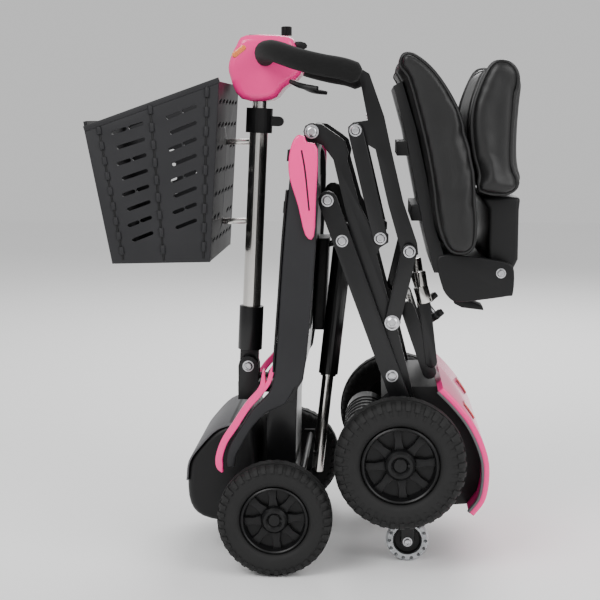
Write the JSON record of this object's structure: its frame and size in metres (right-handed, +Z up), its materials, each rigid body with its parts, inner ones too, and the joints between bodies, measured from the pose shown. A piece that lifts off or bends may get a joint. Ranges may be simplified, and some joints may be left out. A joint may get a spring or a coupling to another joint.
{
  "type": "folding mobility scooter",
  "caption": "Folding four-wheel mobility scooter shown folded: hinged deck and drive unit, folding tiller with basket, padded seat and backrest.",
  "frame": {"origin": "on the floor, under the middle of the folded scooter", "axes": "+X to the rear (the seat side of the folded scooter), +Y to its right, +Z up"},
  "size_m": [0.6671, 0.458, 0.8436],
  "materials": {
    "pink": "gloss",
    "frame_black": "satin",
    "polished": "polished",
    "charcoal": "matte",
    "black_plastic": "satin",
    "tyre_rubber": "matte",
    "rim": "satin",
    "transport_wheel": "gloss",
    "foam": "matte",
    "vinyl": "satin"
  },
  "bodies": {
    "root": {"front_chassis": "frame_black", "hinge_pin": "polished", "deck_side_panel_left": "charcoal", "deck_side_panel_right": "charcoal", "corner_cover_left": "pink", "corner_cover_right": "pink", "nose_cover": "black_plastic", "battery_pack": "black_plastic", "front_axle_beam": "frame_black"},
    "tie_rod": {"tie_rod": "frame_black"},
    "steering_stem": {"steering_stem": "frame_black"},
    "tiller": {"tiller_clamp": "frame_black", "tiller_outer_tube": "polished", "height_clamp": "black_plastic", "basket_left_panel": "charcoal", "basket_right_panel": "charcoal", "basket_front_panel": "charcoal", "basket_back_panel": "charcoal", "basket_floor": "charcoal"},
    "tiller_head": {"tiller_inner_tube": "polished", "head_cover": "pink", "handlebar_grip_left": "foam", "handlebar_grip_right": "foam"},
    "speed_knob": {"speed_knob": "black_plastic"},
    "rear_frame": {"rear_frame": "frame_black", "side_bars": "frame_black", "drive_housing": "black_plastic", "rear_cover": "pink", "drive_motor": "frame_black", "transport_wheel_bracket": "frame_black", "seat_support": "frame_black"},
    "actuator_housing": {"actuator_housing": "frame_black"},
    "actuator_stage": {"actuator_stage_tube": "polished"},
    "actuator_rod": {"actuator_rod": "polished"},
    "seat_arms": {"seat_arm_left": "frame_black", "seat_arm_right": "frame_black"},
    "seat_links": {"seat_link_left": "frame_black", "seat_link_right": "frame_black"},
    "seat": {"seat_frame": "frame_black", "seat_base": "black_plastic", "seat_cushion": "vinyl", "backrest_hinge_housing": "black_plastic"},
    "backrest": {"backrest_pad": "vinyl", "backrest_post": "black_plastic"},
    "release_lever": {"backrest_release_lever": "black_plastic"},
    "knuckle_left": {"steering_knuckle_left": "frame_black"},
    "front_wheel_left": {"front_tyre_left": "tyre_rubber", "front_rim_left": "rim"},
    "rear_wheel_left": {"rear_tyre_left": "tyre_rubber", "rear_rim_left": "rim"},
    "transport_wheel_left": {"transport_wheel_left": "transport_wheel"},
    "throttle_lever_left": {"throttle_lever_left": "black_plastic"},
    "knuckle_right": {"steering_knuckle_right": "frame_black"},
    "front_wheel_right": {"front_tyre_right": "tyre_rubber", "front_rim_right": "rim"},
    "rear_wheel_right": {"rear_tyre_right": "tyre_rubber", "rear_rim_right": "rim"},
    "transport_wheel_right": {"transport_wheel_right": "transport_wheel"},
    "throttle_lever_right": {"throttle_lever_right": "black_plastic"}
  },
  "joints": [
    {"name": "frame_fold", "type": "hinge", "parent": "root", "child": "rear_frame", "pos_m": [0.019, 0, 0.677], "axis": [0, -1, 0], "range_deg": [0, 150]},
    {"name": "steering", "type": "hinge", "parent": "root", "child": "steering_stem", "pos_m": [-0.0725, 0, 0.262], "axis": [1, 0, 0], "range_deg": [-25, 25]},
    {"name": "tiller_fold", "type": "hinge", "parent": "steering_stem", "child": "tiller", "pos_m": [-0.091, 0, 0.292], "axis": [0, -1, 0], "range_deg": [0, 95]},
    {"name": "tiller_extend", "type": "slide", "parent": "tiller", "child": "tiller_head", "axis": [0.0454, 0, 0.999], "range_m": [0, 0.1]},
    {"name": "speed_knob_turn", "type": "hinge", "parent": "tiller_head", "child": "speed_knob", "pos_m": [-0.02832, 0, 0.83472], "axis": [0.0454, 0, 0.999], "range_deg": [0, 270]},
    {"name": "knuckle_left_turn", "type": "hinge", "parent": "root", "child": "knuckle_left", "pos_m": [-0.034, -0.152, 0.089], "axis": [1, 0, 0], "range_deg": [-15.1, 15.1]},
    {"name": "front_wheel_left_spin", "type": "hinge", "parent": "knuckle_left", "child": "front_wheel_left", "pos_m": [-0.034, -0.2, 0.089], "axis": [0, 1, 0], "continuous": true},
    {"name": "rear_wheel_left_spin", "type": "hinge", "parent": "rear_frame", "child": "rear_wheel_left", "pos_m": [0.157, -0.2, 0.178], "axis": [0, 1, 0], "continuous": true},
    {"name": "transport_wheel_left_spin", "type": "hinge", "parent": "rear_frame", "child": "transport_wheel_left", "pos_m": [0.171, -0.12, 0.034], "axis": [0, 1, 0], "continuous": true},
    {"name": "throttle_lever_left_press", "type": "hinge", "parent": "tiller_head", "child": "throttle_lever_left", "pos_m": [-0.012, -0.15, 0.752], "axis": [-0.69, -0.7238, 0], "range_deg": [0, 10], "stiffness_Nm_per_rad": 0.4},
    {"name": "knuckle_right_turn", "type": "hinge", "parent": "root", "child": "knuckle_right", "pos_m": [-0.034, 0.152, 0.089], "axis": [1, 0, 0], "range_deg": [-15.1, 15.1]},
    {"name": "front_wheel_right_spin", "type": "hinge", "parent": "knuckle_right", "child": "front_wheel_right", "pos_m": [-0.034, 0.2, 0.089], "axis": [0, 1, 0], "continuous": true},
    {"name": "rear_wheel_right_spin", "type": "hinge", "parent": "rear_frame", "child": "rear_wheel_right", "pos_m": [0.157, 0.2, 0.178], "axis": [0, 1, 0], "continuous": true},
    {"name": "transport_wheel_right_spin", "type": "hinge", "parent": "rear_frame", "child": "transport_wheel_right", "pos_m": [0.171, 0.12, 0.034], "axis": [0, 1, 0], "continuous": true},
    {"name": "throttle_lever_right_press", "type": "hinge", "parent": "tiller_head", "child": "throttle_lever_right", "pos_m": [-0.012, 0.15, 0.752], "axis": [0.69, -0.7238, 0], "range_deg": [0, 10], "stiffness_Nm_per_rad": 0.4},
    {"name": "tie_rod_slide", "type": "slide", "parent": "root", "child": "tie_rod", "axis": [0, 1, 0], "range_m": [-0.0137, 0.0137]},
    {"name": "actuator_pivot", "type": "hinge", "parent": "rear_frame", "child": "actuator_housing", "pos_m": [0.066, 0, 0.5115], "axis": [0, -1, 0], "range_deg": [-147.5, 0]},
    {"name": "actuator_stage_slide", "type": "slide", "parent": "actuator_housing", "child": "actuator_stage", "axis": [-0.1091, 0, -0.994], "range_m": [0, 0.166]},
    {"name": "actuator_rod_slide", "type": "slide", "parent": "actuator_stage", "child": "actuator_rod", "axis": [-0.1091, 0, -0.994], "range_m": [0, 0.166]},
    {"name": "seat_lift", "type": "hinge", "parent": "rear_frame", "child": "seat_arms", "pos_m": [0.1435, 0, 0.385], "axis": [0, 1, 0], "range_deg": [0, 30]},
    {"name": "seat_frame_pivot", "type": "hinge", "parent": "seat_arms", "child": "seat", "pos_m": [0.169, 0, 0.495], "axis": [0, 1, 0], "range_deg": [-14, 0]},
    {"name": "seat_link_pivot", "type": "hinge", "parent": "rear_frame", "child": "seat_links", "pos_m": [0.1244, 0, 0.515], "axis": [0, 1, 0], "range_deg": [0, 37.5]},
    {"name": "backrest_fold", "type": "hinge", "parent": "seat", "child": "backrest", "pos_m": [0.3067, 0, 0.465], "axis": [0, 1, 0], "range_deg": [0, 95]},
    {"name": "release_lever_pull", "type": "hinge", "parent": "seat", "child": "release_lever", "pos_m": [0.242, -0.095, 0.4165], "axis": [0, 1, 0], "range_deg": [0, 12], "stiffness_Nm_per_rad": 1}
  ],
  "couplings": [
    {"joint": "tiller_fold", "follows": "frame_fold", "ratio": 0.6333},
    {"joint": "actuator_pivot", "follows": "frame_fold", "ratio": -0.979},
    {"joint": "actuator_stage_slide", "follows": "frame_fold", "m_per_rad": 0.0632},
    {"joint": "actuator_rod_slide", "follows": "frame_fold", "m_per_rad": 0.0632},
    {"joint": "knuckle_left_turn", "follows": "steering", "ratio": 0.6},
    {"joint": "knuckle_right_turn", "follows": "steering", "ratio": 0.6},
    {"joint": "tie_rod_slide", "follows": "steering", "m_per_rad": -0.0306},
    {"joint": "seat_frame_pivot", "follows": "seat_lift", "ratio": -0.46},
    {"joint": "seat_link_pivot", "follows": "seat_lift", "ratio": 1.24}
  ]
}
